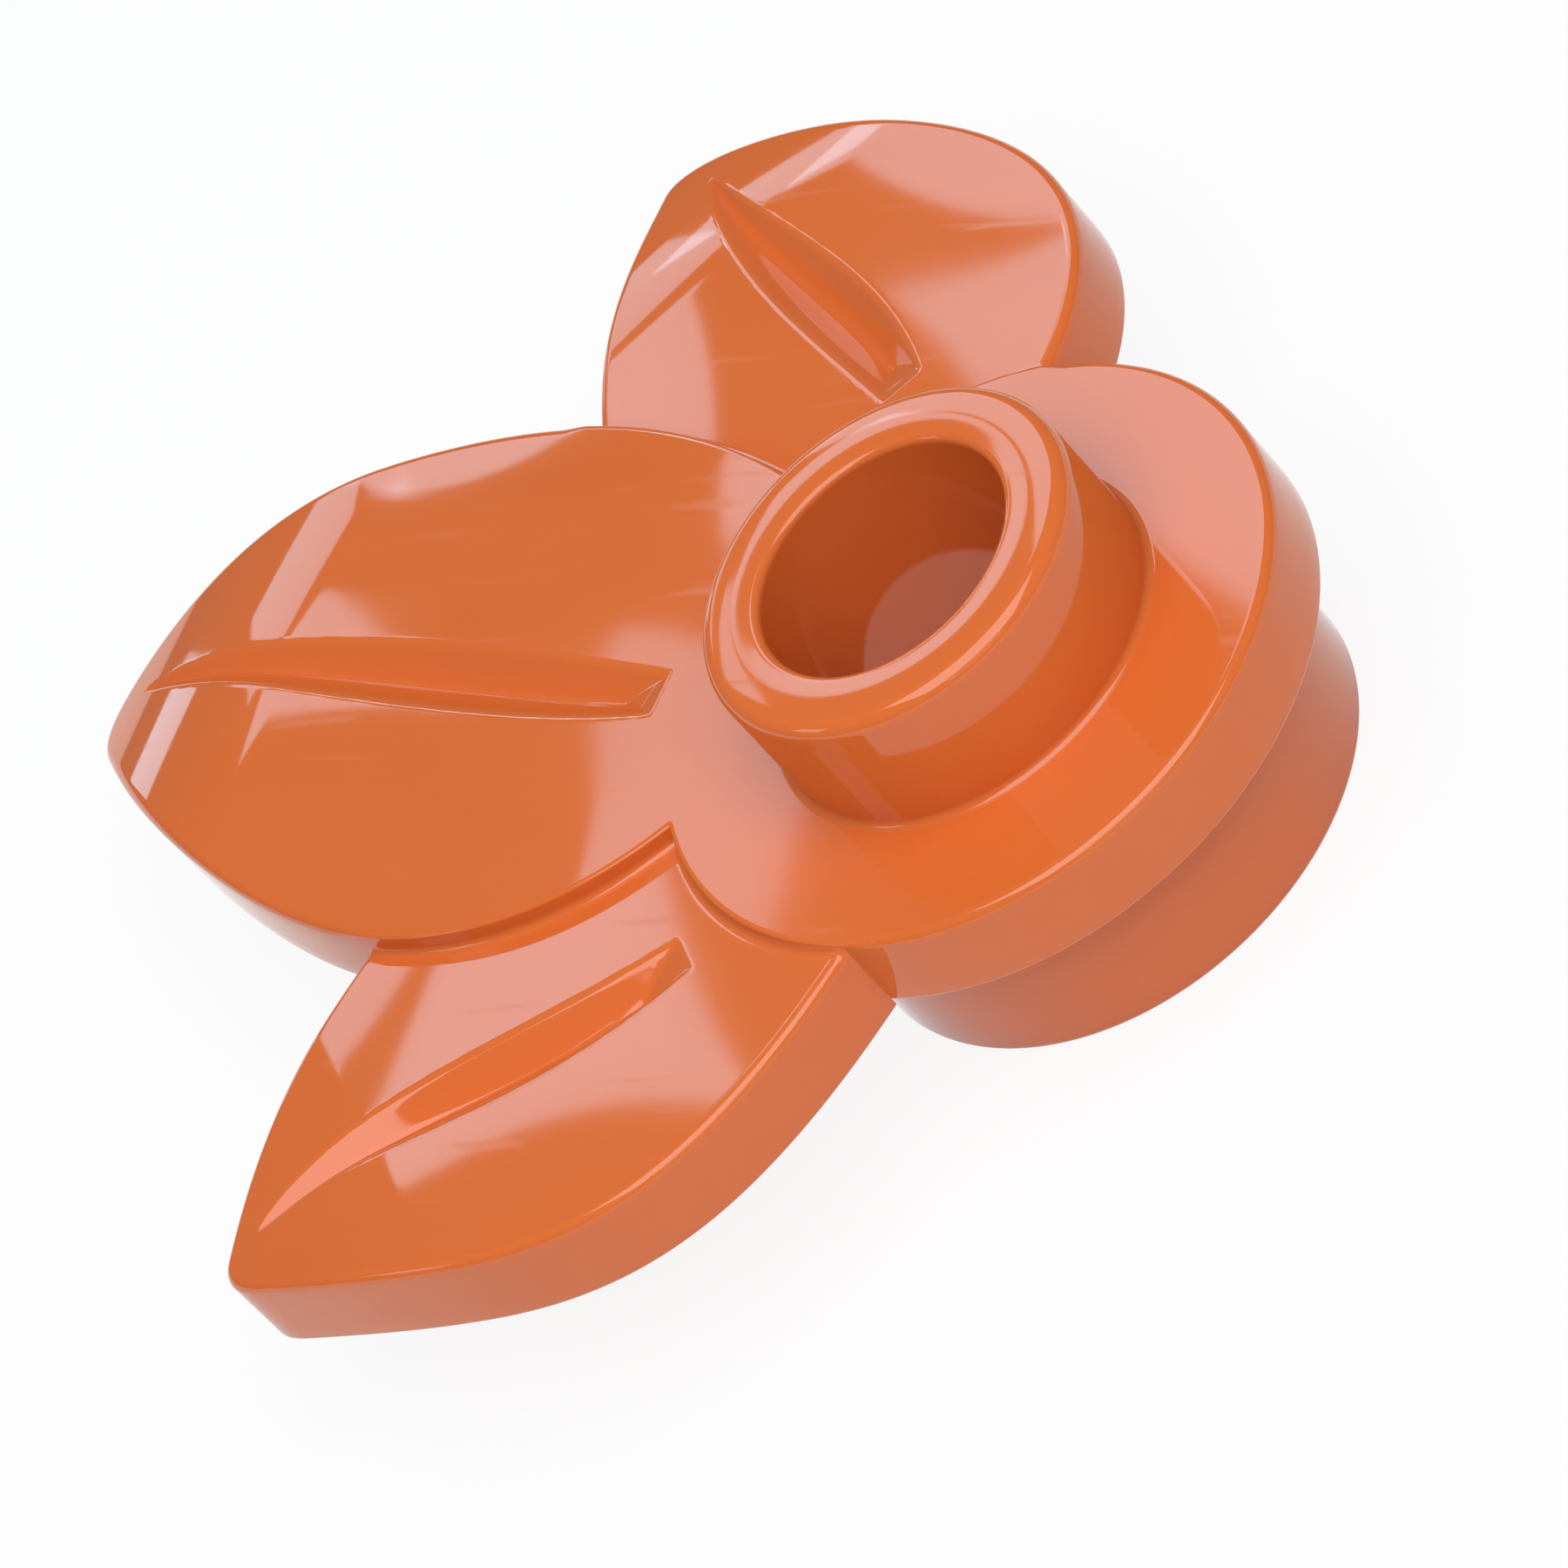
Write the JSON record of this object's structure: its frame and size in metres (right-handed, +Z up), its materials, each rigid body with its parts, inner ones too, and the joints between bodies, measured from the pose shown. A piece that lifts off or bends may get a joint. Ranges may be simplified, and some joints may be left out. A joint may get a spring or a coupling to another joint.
{
  "type": "three-leaf round plate",
  "caption": "Round building plate with a hollow stud on top, a stud socket below and broad veined leaves growing from one side.",
  "frame": {"origin": "on the stud axis, at the level of the socket skirt's lower rim", "axes": "+Z up along the stud axis, +Y along the centre leaf, +X to the right leaf's side"},
  "size_m": [0.0163, 0.0177, 0.005],
  "materials": {
    "moulded_orange": "glossy injection-moulded ABS"
  },
  "bodies": {
    "root": {"stud": "moulded_orange", "round_plate": "moulded_orange", "socket_skirt": "moulded_orange", "centre_leaf": "moulded_orange", "left_leaf": "moulded_orange", "right_leaf": "moulded_orange"}
  },
  "joints": []
}
